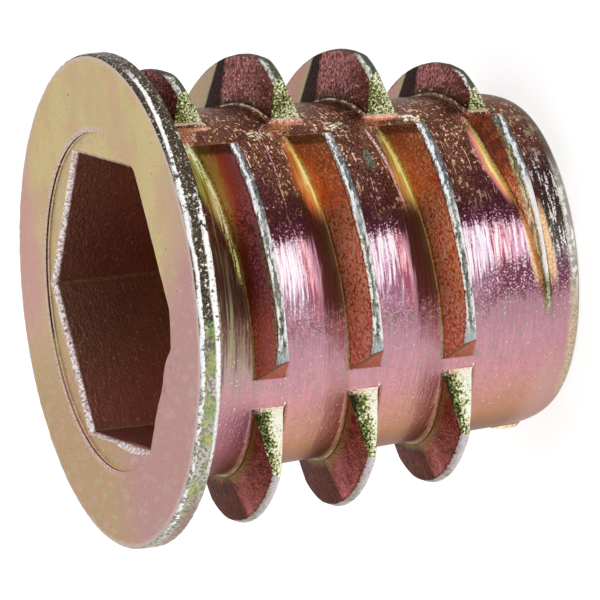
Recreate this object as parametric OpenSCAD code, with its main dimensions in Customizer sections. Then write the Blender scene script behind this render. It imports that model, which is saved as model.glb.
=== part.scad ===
// Flanged hex-drive threaded insert for wood, one zinc die casting.
// The insert stands on its pilot end with the flange face up.
// Z is up, z = 0 is the pilot end, sizes are millimetres.

/* [Insert] */
// Overall length from pilot end to flange face
insert_l = 13; // [11:0.5:18]

/* [Flange] */
// Outside diameter of the flange
flange_d = 14.5; // [14.1:0.1:18]
// Thickness of the flange at its rim
flange_t = 0.7; // [0.5:0.05:1.2]
// Rounding on both edges of the rim
rim_round = 0.12; // [0.06:0.02:0.2]
// Fillet between the flange back and the body
neck_fillet = 0.25; // [0.1:0.05:0.4]

/* [Body] */
// Body diameter at the pilot end, between the thread ridges
body_end_d = 9.66; // [9.4:0.02:10.4]
// Body diameter at the flange, between the thread ridges
body_neck_d = 10.92; // [10.6:0.02:11.4]
// Rounding at the outside of the pilot end, across the body
end_round = 0.42; // [0.2:0.02:0.6]
// Length over which that rounding runs up the body, to lead into the hole
end_lead = 1.3; // [0.4:0.1:2]

/* [Hex drive] */
// Across flats of the hex socket
hex_af = 8.25; // [7:0.05:8.4]
// Depth of the hex socket below the shallow recess
hex_depth = 5.2; // [3.5:0.1:7]
// Chamfer along the mouth of the socket
hex_lip = 0.12; // [0.06:0.02:0.16]
// Turn of the socket about the axis, in degrees
hex_turn = 21.4; // [0:0.2:60]
// Depth of the shallow round recess that holds the mouth of the socket
recess_depth = 0.09; // [0.05:0.01:0.2]
// Room between the corners of that mouth and the edge of the recess
recess_room = 0.06; // [0.02:0.01:0.2]

/* [Bore] */
// Diameter of the bore, the minor diameter of the inner thread
bore_d = 5; // [4:0.1:5.6]
// Chamfer that leads a bolt in at both ends of the bore
lead = 0.65; // [0.3:0.05:0.8]

/* [Outer thread] */
// Axial pitch of the outer thread
pitch = 3; // [2.6:0.05:3.4]
// Height of the ridge above the body
ridge_h = 1.52; // [1.1:0.02:1.58]
// Axial width of the ridge at the body
ridge_base = 0.95; // [0.82:0.01:1.1]
// Axial run of the flank that faces the flange
flank_up = 0.32; // [0.15:0.01:0.36]
// Axial run of the flank that faces the pilot end
flank_down = 0.4; // [0.3:0.01:0.46]
// Distance from the flange back down to the first full ridge, on the +X side
ridge_drop = 1.24; // [1.1:0.02:1.6]
// Height above the pilot end at which the ridge dies out
runout_z = 1.13; // [0.9:0.01:2]

/* [Hidden] */
zinc_tone = [0.78, 0.62, 0.55];
round_fn = 96;
arc_steps = 5;
eps = 0.01;

flange_r = flange_d / 2;
flange_z = insert_l - flange_t;
recess_z = insert_l - recess_depth;
body_end_r = body_end_d / 2;
body_neck_r = body_neck_d / 2;
body_slope = (body_neck_r - body_end_r) / flange_z;

// the socket has true flats, so its corners lie further out
hex_sides = 6;
flat_share = cos(180 / hex_sides);
hex_r = hex_af / 2 / flat_share;
mouth_r = (hex_af / 2 + hex_lip) / flat_share;
recess_r = mouth_r + recess_room;
hex_floor_z = recess_z - hex_depth;
bore_r = bore_d / 2;
lead_r = bore_r + lead;

// Four mould slides form the thread, and each leaves one ridge a turn.
// A slide draws along its own direction, so the ends of its ridges are
// flat planes: run_behind and run_ahead are their distances from the
// line of draw, on the side of the lower and of the higher end.
// The lower end leans back, so that its crest stands in by end_lean.
slide_turn = [for (i = [-2:1]) 90 * i - 1];
run_behind = [2.55, 2.68, 2.41, 2.55];
run_ahead = [4.1, 4.25, 4.17, 4.17];
end_lean = [0.5, 0.5, 0, 0.5];
shortest_reach = 45;
ridge_steps = 12;
ridge_sink = 0.3;

// share of the full height and width that the ridge has reached, by the
// turns of thread above the run-out
height_growth = [[0, 0.04], [0.1, 0.3], [0.25, 0.62], [1.15, 1]];
width_growth = [[0, 0.3], [0.25, 0.75], [0.7, 1]];

// corners of the ridge as height above the body and as axial offset,
// in shares of the full height and width, buried feet at both ends
up_share = flank_up / ridge_base;
down_share = flank_down / ridge_base;
ridge_section = [
    [-1, 0.5],
    [0, 0.5],
    [1, 0.5 - up_share],
    [1, down_share - 0.5],
    [0, -0.5],
    [-1, -0.5]
];
corners = len(ridge_section);

// turns are counted from the first full ridge on the +X side, minus down
function body_r(z) = body_end_r + body_slope * z;
function ridge_z(turns) = flange_z - ridge_drop + pitch * turns;
runout_turns = (runout_z - ridge_z(0)) / pitch;
function grown(turns, growth) = lookup(turns - runout_turns, growth);

// lowest turn, counted down from 0, on which a slide still has a ridge
function last_turn(slide) = floor((slide_turn[slide] + shortest_reach) / 360 - runout_turns);

// one corner of the ridge, found where a plane along the line of draw
// meets the round of that corner
function ridge_point(slide, turn, side, corner) =
    let (
        draw = slide_turn[slide],
        foot_r = body_r(ridge_z(draw / 360 - turn)),
        foot_turns = (draw + asin(side / foot_r)) / 360 - turn,
        share = corner[0],
        lift = share < 0 ? -ridge_sink : share * ridge_h * grown(foot_turns, height_growth),
        r = body_r(ridge_z(foot_turns)) + lift,
        angle = draw + asin(side / r),
        turns = angle / 360 - turn,
        z = ridge_z(turns) + corner[1] * ridge_base * grown(turns, width_growth)
    )
    [r * cos(angle), r * sin(angle), z];

// distance from the line of draw at which a ridge starts: the parting
// plane of its slide, or the run-out where that comes first
function ridge_start(slide, turn) =
    let (
        runout_angle = 360 * (runout_turns + turn) - slide_turn[slide],
        reach = body_r(runout_z) * sin(max(-90, runout_angle))
    )
    max(-run_behind[slide], reach);

module ridge(slide, turn) {
    start = ridge_start(slide, turn);
    run = run_ahead[slide] - start;
    lean = start > -run_behind[slide] ? 0 : end_lean[slide];
    points = [
        for (i = [0:ridge_steps], corner = ridge_section)
            let (
                share = i / ridge_steps,
                lag = lean * max(0, corner[0]) * (1 - share)
            )
            ridge_point(slide, turn, start + run * share + lag, corner)
    ];
    skin = [
        for (i = [0:ridge_steps - 1], c = [0:corners - 1])
            let (
                a = i * corners + c,
                b = i * corners + (c + 1) % corners
            )
            each [[a, b + corners, b], [a, a + corners, b + corners]]
    ];
    start_cap = [[0, 1, 4], [0, 4, 5], [1, 2, 3], [1, 3, 4]];
    end_cap = [for (c = [corners - 1:-1:0]) ridge_steps * corners + c];
    polyhedron(points, concat(start_cap, skin, [end_cap]), convexity = 6);
}

module outer_thread() {
    for (slide = [0:len(slide_turn) - 1]) {
        for (turn = [0:last_turn(slide)]) {
            ridge(slide, turn);
        }
    }
}

// points on a round of radius r about [x, z], from one angle to another,
// stretched along the axis where a length is given as well
function arc(x, z, r, from, to, length) = [
    for (i = [0:arc_steps])
        let (
            a = from + (to - from) * i / arc_steps,
            along = is_undef(length) ? r : length
        )
        [x + r * cos(a), z + along * sin(a)]
];

// outside of the body and flange, drawn as half a section
module body_profile() {
    rim_x = flange_r - rim_round;
    neck_z = flange_z - neck_fillet;
    neck_x = body_r(neck_z) + neck_fillet;
    polygon(concat(
        [[0, 0]],
        arc(body_end_r - end_round, end_lead, end_round, -90, 0, end_lead),
        arc(neck_x, neck_z, neck_fillet, 180, 90),
        arc(rim_x, flange_z + rim_round, rim_round, -90, 0),
        arc(rim_x, insert_l - rim_round, rim_round, 0, 90),
        [[0, insert_l]]
    ));
}

module hex_socket() {
    rotate([0, 0, hex_turn]) {
        translate([0, 0, hex_floor_z])
            cylinder(h = hex_depth + eps, r = hex_r, $fn = hex_sides);
        translate([0, 0, recess_z - hex_lip])
            cylinder(h = hex_lip + eps, r1 = hex_r, r2 = mouth_r, $fn = hex_sides);
    }
}

module bore() {
    translate([0, 0, -eps])
        cylinder(h = hex_floor_z + 2 * eps, r = bore_r, $fn = round_fn);
    translate([0, 0, hex_floor_z - lead])
        cylinder(h = lead + eps, r1 = bore_r, r2 = lead_r + eps, $fn = round_fn);
    translate([0, 0, -eps])
        cylinder(h = lead + eps, r1 = lead_r + eps, r2 = bore_r, $fn = round_fn);
}

module threaded_insert() {
    color(zinc_tone)
    difference() {
        union() {
            rotate_extrude($fn = round_fn) body_profile();
            outer_thread();
        }
        translate([0, 0, recess_z])
            cylinder(h = recess_depth + eps, r = recess_r, $fn = round_fn);
        hex_socket();
        bore();
    }
}

threaded_insert();
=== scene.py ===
"""Looks of a flanged hex-drive threaded insert: one die casting in yellow-passivated zinc.

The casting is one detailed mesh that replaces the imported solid. It is made as the tool that casts it is: a
turned body, the ridges that four side slides form, and the socket, recess and threaded bore cut into them.
Lengths are millimetres until a mesh is made, angles are degrees about +Z, and z runs from the pilot end up.
"""
from math import asin, atan2, cos, degrees, exp, floor, hypot, pi, radians, sin

import bmesh
import bpy
import numpy as np
from mathutils import Matrix, Vector, noise

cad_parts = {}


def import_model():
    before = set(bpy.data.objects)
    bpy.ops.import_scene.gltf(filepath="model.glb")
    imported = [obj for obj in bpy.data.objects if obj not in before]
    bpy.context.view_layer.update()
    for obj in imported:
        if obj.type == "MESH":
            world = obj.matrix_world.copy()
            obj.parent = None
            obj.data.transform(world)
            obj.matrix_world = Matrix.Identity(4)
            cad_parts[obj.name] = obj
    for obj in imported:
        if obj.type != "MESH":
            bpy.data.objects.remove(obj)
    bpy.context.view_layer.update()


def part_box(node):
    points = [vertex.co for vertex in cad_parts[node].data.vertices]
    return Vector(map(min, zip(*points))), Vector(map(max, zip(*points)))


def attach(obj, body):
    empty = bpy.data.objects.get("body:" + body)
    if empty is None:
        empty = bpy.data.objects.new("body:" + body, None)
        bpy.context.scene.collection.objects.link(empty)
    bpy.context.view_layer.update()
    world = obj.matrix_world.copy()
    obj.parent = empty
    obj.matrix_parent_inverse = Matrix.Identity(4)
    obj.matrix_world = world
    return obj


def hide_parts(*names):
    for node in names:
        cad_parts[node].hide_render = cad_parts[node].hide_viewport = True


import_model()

NODE = "threaded_insert"
MM = 0.001
low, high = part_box(NODE)

# ---- sizes, as in the part's own construction
insert_l = (high.z - low.z) / MM
flange_r = (high.x - low.x) / MM / 2
flange_t = 0.7
rim_round = 0.12
neck_fillet = 0.25
body_end_r = 4.83
body_neck_r = 5.46
end_round = 0.42
end_lead = 1.3
hex_af = 8.25
hex_depth = 5.2
hex_lip = 0.12
hex_turn = 21.4
recess_depth = 0.09
recess_room = 0.06
bore_r = 2.5
lead = 0.65
pitch = 3.0
ridge_h = 1.52
ridge_base = 0.95
flank_up = 0.32
flank_down = 0.4
ridge_drop = 1.24
runout_z = 1.13
inner_pitch = 1.0
inner_depth = 0.5

slide_arc = 90
slide_draw = [-181.0, -91.0, -1.0, 89.0]
parting = 35
parting_to_draw = 34
run_behind = [2.55, 2.68, 2.41, 2.55]
run_ahead = [4.10, 4.25, 4.17, 4.17]
end_lean = [0.5, 0.5, 0.0, 0.5]
height_growth = ([0, 0.1, 0.25, 1.15], [0.04, 0.3, 0.62, 1])
width_growth = ([0, 0.25, 0.7], [0.3, 0.75, 1])
shortest_reach = 45
ridge_sink = 0.3

flange_z = insert_l - flange_t
neck_z = flange_z - neck_fillet
recess_z = insert_l - recess_depth
body_slope = (body_neck_r - body_end_r) / flange_z
flat_share = cos(radians(30))
hex_floor_z = recess_z - hex_depth
mouth_r = (hex_af / 2 + hex_lip) / flat_share
recess_r = mouth_r + recess_room
lead_r = bore_r + lead
first_z = flange_z - ridge_drop
runout_turns = (runout_z - first_z) / pitch
half_top = (ridge_base - flank_up - flank_down) / 2 + 0.04

# ---- form that only the looks need
foot_round = 0.17
crest_round = 0.05
crest_wear = [0.06, 0.035, 0.02, 0.05]
end_drop = [0.04, 0.04, 0.2, 0.04]
first_share = 0.8
end_wear = 0.05
lip_depth = 0.19
foot_spread = ([0, 0.085, 0.11, 0.135, 0.16, 0.19, 0.23], [0, 0.12, 0.25, 0.41, 0.5, 0.44, 0.34])
ridge_step = 0.1
flash_r = 0.18
flash_l = 0.5
flash_place = (-4.83, -0.1, 1.13)
turned_steps = 360
socket_steps = 40
bore_steps = 96
core_r = 1.0
cut_past = 0.5
dent_depth = 0.02
dent_reach = 0.25
chip_depth = 0.24
ragged_depth = 0.03
sharp_angle = 38


def body_r(z):
    return body_end_r + body_slope * z


def polar(r, angle):
    """x and y at a radius and an angle."""
    return r * cos(radians(angle)), r * sin(radians(angle))


def arc(x, z, r, start, end, steps, length=None):
    """Points on a round of radius r about (x, z), drawn out along the axis where a length is given."""
    turns = [radians(start + (end - start) * i / steps) for i in range(steps + 1)]
    return [(x + r * cos(t), z + (length or r) * sin(t)) for t in turns]


def ragged(point, scale, seed):
    """Noise around 0 at a point in millimetres."""
    return noise.noise(Vector(point) * scale + Vector((seed, seed * 2, seed * 3)))


def hump(value, middle, width):
    """1 at the middle, falling away on both sides."""
    return exp(-((value - middle) / width) ** 2)


def line(a, b, steps):
    """Points from a up to, but not at, b."""
    return [tuple(p + (q - p) * i / steps for p, q in zip(a, b)) for i in range(steps)]


# ---- meshes
def linked(thing):
    bpy.context.collection.objects.link(thing)
    return thing


def mesh_object(name, points, faces):
    mesh = bpy.data.meshes.new(name)
    mesh.from_pydata([tuple(float(v) * MM for v in p) for p in points], [], faces)
    mesh.validate()
    return linked(bpy.data.objects.new(name, mesh))


def tube_faces(rings, n):
    """Quads of closed rings of n points each, in order, with outward faces for rings that climb."""
    faces = []
    for k in range(rings - 1):
        for j in range(n):
            i = (j + 1) % n
            faces.append((k * n + j, k * n + i, (k + 1) * n + i, (k + 1) * n + j))
    return faces


def closed_tube(name, rings):
    """A closed solid from rings of points that climb on the outside, capped on the axis at both ends."""
    n = len(rings[0])
    points = [point for ring in rings for point in ring]
    points += [(0, 0, rings[0][0][2]), (0, 0, rings[-1][0][2])]
    faces = tube_faces(len(rings), n)
    last = (len(rings) - 1) * n
    for j in range(n):
        i = (j + 1) % n
        faces.append((i, j, len(points) - 2))
        faces.append((last + j, last + i, len(points) - 1))
    return mesh_object(name, points, faces)


def turned(name, profile, steps, wave=None):
    """A closed turned solid from an (r, z) profile; wave may move its points."""
    rings = []
    for r, z in profile:
        ring = []
        for j in range(steps):
            angle = 360 * j / steps
            waved_r, waved_z = wave(r, z, angle) if wave else (r, z)
            ring.append((*polar(waved_r, angle), waved_z))
        rings.append(ring)
    return closed_tube(name, rings)


def join(whole, tools, operation):
    """Adds the tools to the whole, or cuts them from it, and keeps one closed mesh."""
    for tool in tools:
        step = whole.modifiers.new("step", "BOOLEAN")
        step.operation = operation
        step.object = tool
        step.solver = "MANIFOLD"
    graph = bpy.context.evaluated_depsgraph_get()
    mesh = bpy.data.meshes.new_from_object(whole.evaluated_get(graph))
    whole.modifiers.clear()
    whole.data = mesh
    for tool in tools:
        bpy.data.objects.remove(tool)


def facing(shape):
    """The shape with every face turned outward and its caps split into triangles."""
    work = bmesh.new()
    work.from_mesh(shape.data)
    bmesh.ops.recalc_face_normals(work, faces=work.faces)
    bmesh.ops.triangulate(work, faces=[f for f in work.faces if len(f.verts) > 4])
    work.to_mesh(shape.data)
    work.free()
    return shape


# ---- the turned body with its flange
def body_profile():
    rim, rim_r, neck_r = rim_round, flange_r - rim_round, body_r(neck_z)
    reach = end_round + body_slope * end_lead
    return [
        (core_r, 0.0),
        *line((core_r, 0.0), (body_end_r - end_round, 0.0), 8),
        *arc(body_r(end_lead) - reach, end_lead, reach, -90, -4, 12, end_lead),
        *line((body_r(end_lead), end_lead), (neck_r, neck_z), 90),
        *arc(neck_r + neck_fillet, neck_z, neck_fillet, 180, 90, 6),
        *line((neck_r + neck_fillet + 0.05, flange_z), (rim_r, flange_z), 10),
        *arc(rim_r, flange_z + rim, rim, -90, 0, 6),
        *line((flange_r, flange_z + rim + 0.02), (flange_r, insert_l - rim), 6),
        *arc(rim_r, insert_l - rim, rim, 0, 90, 6),
        *line((rim_r - 0.04, insert_l), (core_r, insert_l), 30),
    ]


def rim_wave(r, z, angle):
    """Small dents of the rim, always inward."""
    if r < flange_r - 0.6 or z < flange_z - 0.01:
        return r, z
    point = (*polar(r, angle), z)
    dent = dent_depth * abs(ragged(point, 2.5, 1)) + dent_depth * abs(ragged(point, 7, 2))
    near_edge = max(0.0, 1 - (flange_r - r) / dent_reach)
    return r - dent * near_edge, z + (-dent if z > insert_l - rim_round else dent * 0.5) * near_edge


# ---- the ridges of the outer thread
def ridge_section(facet, bulge):
    """(share of the height, axial place) from the flange side over the crest.

    facet is the share of the height by which the flange side of the crest is worn away, and bulge widens its
    other side.
    """
    foot, crest = foot_round / ridge_h, crest_round / ridge_h
    half = ridge_base / 2
    top = 1 - crest - facet
    run_down = flank_down - bulge
    inner, outer = -half + run_down + 0.05, half - flank_up * top
    rounds = (0, 0.25, 0.5, 0.75)
    section = [(-1.0, half + foot_round)]
    section += [(t * t * foot, half + foot_round * (1 - t) ** 2 - flank_up * foot * t * t) for t in rounds]
    section += [(h, half - flank_up * h) for h in np.linspace(foot, top, 10)]
    section += [(top + 0.7 * crest, outer - 0.012)]
    section += [(1 - facet * (1 - t), outer + (inner - outer) * t) for t in np.linspace(0.25, 1, 5)]
    section += [(1 - crest * 0.3, inner - 0.04)]
    section += [(h, -half + run_down * h) for h in np.linspace(1 - crest, foot, 10)]
    section += [(t * t * foot, -half - foot_round * (1 - t) ** 2 + run_down * foot * t * t)
                for t in reversed(rounds)]
    section += [(-1.0, -half - foot_round)]
    return section


def facet_at(slide, side):
    """How far the flange side of the crest is worn down, as a share of the ridge's height."""
    behind = max(0.0, 1 - (side + run_behind[slide]) / 1.2)
    return crest_wear[slide] + 0.16 * behind ** 1.5


def bulge_at(slide, side):
    """How far the crest has flowed over its pilot side."""
    return 0.06 * hump(side, 2.6, 1.1) if slide == 1 else 0.0


def spread_at(slide, turns):
    """How far the foot of the run-out reaches towards the flange beyond the section's own."""
    past = turns - runout_turns
    if slide != 1 or past > 0.25:
        return 0.0
    return float(np.interp(past, *foot_spread))


def crest_height(slide, side, turns):
    """Height of the ridge, which grows from the run-out and is worn round behind the line of draw."""
    behind = max(0.0, 1 - (side + run_behind[slide]) / 0.7)
    first = first_share if slide == 2 and turns > -0.5 else 1.0
    return ridge_h * grown(turns, height_growth) * (1 - end_drop[slide] * behind ** 1.5) * first


def grown(turns, growth):
    return float(np.interp(turns - runout_turns, *growth))


def ridge_point(slide, turn, side, corner, worn):
    """One point of a ridge: side is its distance from the line of draw, corner its place in the section."""
    share, place = corner
    draw = slide_draw[slide]
    foot_r = body_r(first_z + pitch * (draw / 360 - turn))
    foot_turns = (draw + degrees(asin(side / foot_r))) / 360 - turn
    height = crest_height(slide, side, foot_turns)
    lift = -ridge_sink if share < 0 else share * height
    if share > 0.7:
        rough = 0.035 * (share - 0.7) * ragged((side, place, turn + slide * 7), 5, 3)
        lift -= min(worn, height * 0.5) + rough
    if 0 <= share < 0.001:
        lift -= 0.012
    r = body_r(first_z + pitch * foot_turns) + lift
    angle = draw + degrees(asin(side / r))
    turns = angle / 360 - turn
    z = first_z + pitch * turns + place * grown(turns, width_growth)
    if place > 0:
        z += spread_at(slide, turns) * (1 - max(0.0, share))
    return r, angle, z


def ridge_start(slide, turn):
    runout_angle = 360 * (runout_turns + turn) - slide_draw[slide]
    return max(-run_behind[slide], body_r(runout_z) * sin(radians(max(-90, runout_angle))))


def ridge(slide, turn):
    start, end = ridge_start(slide, turn), run_ahead[slide]
    lean = end_lean[slide] if start == -run_behind[slide] else 0.0
    steps = max(8, round((end - start) / ridge_step))
    inner = [start + (end - start) * i / steps for i in range(1, steps)]
    sides = [start, start + end_wear * 0.4] + inner + [end - end_wear * 0.4, end]
    points = []
    for k, side in enumerate(sides):
        worn = end_wear if k in (0, len(sides) - 1) else 0.0
        for corner in ridge_section(facet_at(slide, side), bulge_at(slide, side)):
            lag = lean * max(0.0, corner[0]) * (end - side) / (end - start)
            r, angle, z = ridge_point(slide, turn, side + lag, corner, worn)
            points.append((*polar(r, angle), z))
    n = len(points) // len(sides)
    faces = [tuple(reversed(f)) for f in tube_faces(len(sides), n)]
    faces += [tuple(range(n)), tuple((len(sides) - 1) * n + j for j in reversed(range(n)))]
    return facing(mesh_object(f"ridge_{slide}_{turn}", points, faces))


def last_turn(slide):
    return floor((slide_draw[slide] + shortest_reach) / 360 - runout_turns)


def ridges():
    return [ridge(slide, turn) for slide in range(4) for turn in range(last_turn(slide) + 1)]


def flash_wave(r, z, angle):
    return r * (1 + 0.5 * ragged((angle / 40, z * 6, 0), 1, 8)), z


def flash():
    """A scrap of metal left on the line where two slides part, near the pilot end."""
    scrap = turned("flash", arc(0, 0, flash_r, -85, 85, 8, flash_l), 14, flash_wave)
    for vertex in scrap.data.vertices:
        vertex.co += Vector(flash_place) * MM
    return scrap


# ---- what is cut out
def recess():
    corner = [(recess_r - 0.03, recess_z), (recess_r, recess_z + 0.03)]
    profile = [(core_r / 2, recess_z), *corner, (recess_r + 0.02, insert_l + cut_past)]
    return turned("recess", profile, turned_steps)


def chip(flat, share, rise):
    """How far the socket's mouth is broken outward at a place along one of its flats."""
    near = max(0.0, min(1.0, rise))
    if flat == 3:
        return near * (chip_depth * hump(share, 0.84, 0.1) + 0.08 * hump(share, 0.5, 0.12))
    if flat == 2 and share > 0.4:
        return near * 0.16 * sin(pi * (share - 0.4) / 0.6)
    return 0.0


def hex_outline(size, z):
    """Points round the socket at one height: a hexagon of half width size, with its mouth chipped."""
    r = size / flat_share
    rise = 1 - (recess_z - z) / 0.3
    outline = []
    for k in range(6):
        corner = hex_turn + 60 * k
        (ax, ay), (bx, by) = polar(1, corner), polar(1, corner + 60)
        for i in range(socket_steps):
            share = i / socket_steps
            x, y = r * ((1 - share) * ax + share * bx), r * ((1 - share) * ay + share * by)
            out = chip(k, share, rise)
            if rise > 0:
                out += ragged_depth * rise * ragged((x, y, z), 4, 5)
            dx, dy = polar(out, corner + 30)
            outline.append((x + dx, y + dy))
    return outline


def socket():
    half = hex_af / 2
    levels = [(hex_floor_z, half - 0.02), (hex_floor_z + 0.06, half)]
    levels += [(z, half) for z in np.linspace(hex_floor_z + 0.3, recess_z - 0.34, 16)]
    levels += [(z, half) for z in np.linspace(recess_z - 0.3, recess_z - lip_depth - 0.02, 3)]
    levels += [(recess_z - lip_depth * (1 - t), half + hex_lip * (1 - cos(t * pi / 2)))
               for t in (0, 0.3, 0.6, 0.85, 1.0)]
    levels += [(insert_l + cut_past, half + hex_lip + 0.02)]
    rings = [[(x, y, z) for x, y in hex_outline(size, min(z, recess_z))] for z, size in levels]
    return closed_tube("socket", rings)


def bore():
    """The threaded bore as a skin wound with the thread, with a cone at each end."""
    steps, rows_per_pitch = bore_steps, 12
    start = -inner_pitch
    rows = int((hex_floor_z + 2 * inner_pitch - start) / inner_pitch * rows_per_pitch)
    points = []
    for k in range(rows + 1):
        for j in range(steps):
            z = start + inner_pitch * (j / steps + k / rows_per_pitch)
            phase = (k % rows_per_pitch) / rows_per_pitch
            depth = inner_depth * max(0.0, min(1.0, 1.25 - 2.9 * abs(phase - 0.5)))
            cone = max(lead - min(z, hex_floor_z - z), 0.0)
            r = max(bore_r + depth, bore_r + cone) if cone < lead + 0.2 else lead_r + 0.2
            points.append((*polar(r, 360 * j / steps), z))

    def at(k, j):
        return k * steps + j

    faces = []
    for k in range(rows):
        for j in range(steps - 1):
            faces.append((at(k, j), at(k, j + 1), at(k + 1, j + 1), at(k + 1, j)))
        if k + rows_per_pitch + 1 <= rows:
            low_k, high_k = k + rows_per_pitch, k + rows_per_pitch + 1
            faces.append((at(k, steps - 1), at(low_k, 0), at(high_k, 0), at(k + 1, steps - 1)))
    bottom = [at(0, j) for j in range(steps)] + [at(k, 0) for k in range(rows_per_pitch, 0, -1)]
    top = [at(rows, j) for j in range(steps)]
    top += [at(k, steps - 1) for k in range(rows - 1, rows - rows_per_pitch - 1, -1)]
    points += [(0, 0, start), (0, 0, start + inner_pitch * (rows / rows_per_pitch + 1))]
    for loop, centre, flip in ((bottom, len(points) - 2, True), (top, len(points) - 1, False)):
        for a, b in zip(loop, loop[1:] + loop[:1]):
            faces.append((b, a, centre) if flip else (a, b, centre))
    return facing(mesh_object("bore", points, faces))


# ---- the casting
OUTSIDE, ENDS, FACE, RIM, SOCKET, BORE, PILOT = range(7)


def casting():
    whole = turned("body", body_profile(), turned_steps, rim_wave)
    join(whole, ridges() + [flash()], "UNION")
    join(whole, [recess(), socket(), bore()], "DIFFERENCE")
    whole.name = "insert_casting"
    mesh = whole.data
    mesh.shade_smooth()
    mesh.set_sharp_from_angle(angle=radians(sharp_angle))
    mesh.materials.clear()
    for finish in finishes():
        mesh.materials.append(finish)
    sort_faces(mesh)
    mark_crests(mesh)
    return whole


def slide_at(x, y):
    """The slide that forms a place, and the angle there from its line of draw."""
    quarter = (degrees(atan2(y, x)) + parting) / slide_arc
    return (floor(quarter) + 2) % 4, (quarter - floor(quarter)) * slide_arc - parting_to_draw


def on_end(x, y, nx, ny, height):
    """Whether a point with this normal lies on the flat end of a ridge."""
    slide, _ = slide_at(x, y)
    draw = radians(slide_draw[slide])
    side = y * cos(draw) - x * sin(draw)
    facing_side = ny * cos(draw) - nx * sin(draw)
    lean = end_lean[slide] * height / ridge_h
    at_end = min(abs(side - run_ahead[slide]), abs(side + run_behind[slide] - lean))
    return at_end < 0.06 and abs(facing_side) > 0.8


def surface_at(place, normal):
    """The surface that a face belongs to, from its middle and its normal."""
    x, y, z = place
    r = hypot(x, y)
    height = r - body_r(z)
    if z > insert_l - 0.11 and 4.0 < r < flange_r - rim_round * 0.6 and normal.z > 0.5:
        return FACE
    if r > flange_r - 0.5 and z > flange_z - 0.01:
        return RIM
    if z > hex_floor_z - 0.02 and r < mouth_r + 0.03:
        return SOCKET
    if r < lead_r + 0.3 and z < hex_floor_z + 0.05 and r < body_end_r - 0.9:
        return BORE if r < lead_r + 0.001 and abs(normal.z) < 0.99 else PILOT
    if normal.z < -0.7 and z < 0.12:
        return PILOT
    if height > 0.02 and on_end(x, y, normal.x, normal.y, height):
        return ENDS
    return OUTSIDE


def sort_faces(mesh):
    """Gives each face the material of its surface."""
    for face in mesh.polygons:
        face.material_index = surface_at(face.center / MM, face.normal)


def crest_edge(x, y, z):
    """How many millimetres a point lies above the worn edge of its ridge's crest."""
    turns = (z - first_z) / pitch - degrees(atan2(y, x)) / 360
    axial = (turns - floor(turns + 0.5)) * pitch
    past = (z - axial - first_z) / pitch
    slide, angle = slide_at(x, y)
    r = hypot(x, y)
    side = r * sin(radians(angle))
    if past < runout_turns + 0.005 or r - body_r(z) < 0.04:
        return -1.0
    lean = end_lean[slide] / (run_ahead[slide] + run_behind[slide])
    before = (side - lean * run_ahead[slide]) / (1 - lean)
    height = crest_height(slide, side, past)
    return r - body_r(z) - height * (1 - facet_at(slide, before)) + crest_round


def mark_crests(mesh):
    layer = mesh.attributes.new("crest", "FLOAT", "POINT")
    for vertex, value in zip(mesh.vertices, layer.data):
        value.value = crest_edge(*(vertex.co / MM))


# ---- fields: arithmetic on shader nodes
def srgb(screen):
    """A screen colour, 0xRRGGBB, in the linear values that a shader takes."""
    shares = [(screen >> shift & 255) / 255 for shift in (16, 8, 0)]
    return tuple(v / 12.92 if v <= 0.04045 else ((v + 0.055) / 1.055) ** 2.4 for v in shares) + (1.0,)


def arithmetic(operation, swap=False):
    """A method of Field that adds the node for an operation."""
    def apply(self, *others):
        values = (self, *others)
        return self.paint.math(operation, *(reversed(values) if swap else values))
    return apply


class Field:
    """A value that varies over a surface. Arithmetic on it adds nodes to its material."""

    def __init__(self, paint, socket):
        self.paint = paint
        self.socket = socket

    __add__ = __radd__ = arithmetic("ADD")
    __sub__ = arithmetic("SUBTRACT")
    __rsub__ = arithmetic("SUBTRACT", swap=True)
    __mul__ = __rmul__ = arithmetic("MULTIPLY")
    __truediv__ = arithmetic("DIVIDE")
    __abs__ = arithmetic("ABSOLUTE")

    def sway(self, amount):
        """Noise around 0.5 as amount times noise around 0."""
        return (self - 0.5) * amount

    def step(self, start, end):
        """0 before start and 1 past end, eased between; start may be the larger."""
        inputs = {
            "Value": self, "From Min": min(start, end), "From Max": max(start, end),
            "To Min": float(start >= end), "To Max": float(start < end),
        }
        return self.paint.add("MapRange", inputs, "Result", interpolation_type="SMOOTHSTEP")

    def band(self, start, end, ease):
        """1 between start and end, 0 outside."""
        return self.step(start - ease, start + ease) * self.step(end + ease, end - ease)


class Material:
    """A procedural material. Its inputs take fields, numbers and 0xRRGGBB colours."""

    def __init__(self, name):
        self.material = bpy.data.materials.new(name)
        self.material.use_nodes = True
        self.tree = self.material.node_tree

    def feed(self, node, inputs):
        for name, value in inputs.items():
            socket = node.inputs[name]
            if isinstance(value, Field):
                self.tree.links.new(value.socket, socket)
            elif socket.type == "RGBA" and isinstance(value, int):
                socket.default_value = srgb(value)
            else:
                socket.default_value = value

    def add(self, kind, inputs, output=0, **settings):
        """An output of a new node."""
        node = self.tree.nodes.new("ShaderNode" + kind)
        for name, value in settings.items():
            setattr(node, name, value)
        self.feed(node, inputs)
        return Field(self, node.outputs[output])

    def math(self, operation, *values):
        return self.add("Math", dict(enumerate(values)), operation=operation)

    def shade(self, inputs):
        """The material, once its shader is fed."""
        self.feed(self.tree.nodes["Principled BSDF"], inputs)
        return self.material


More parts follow.
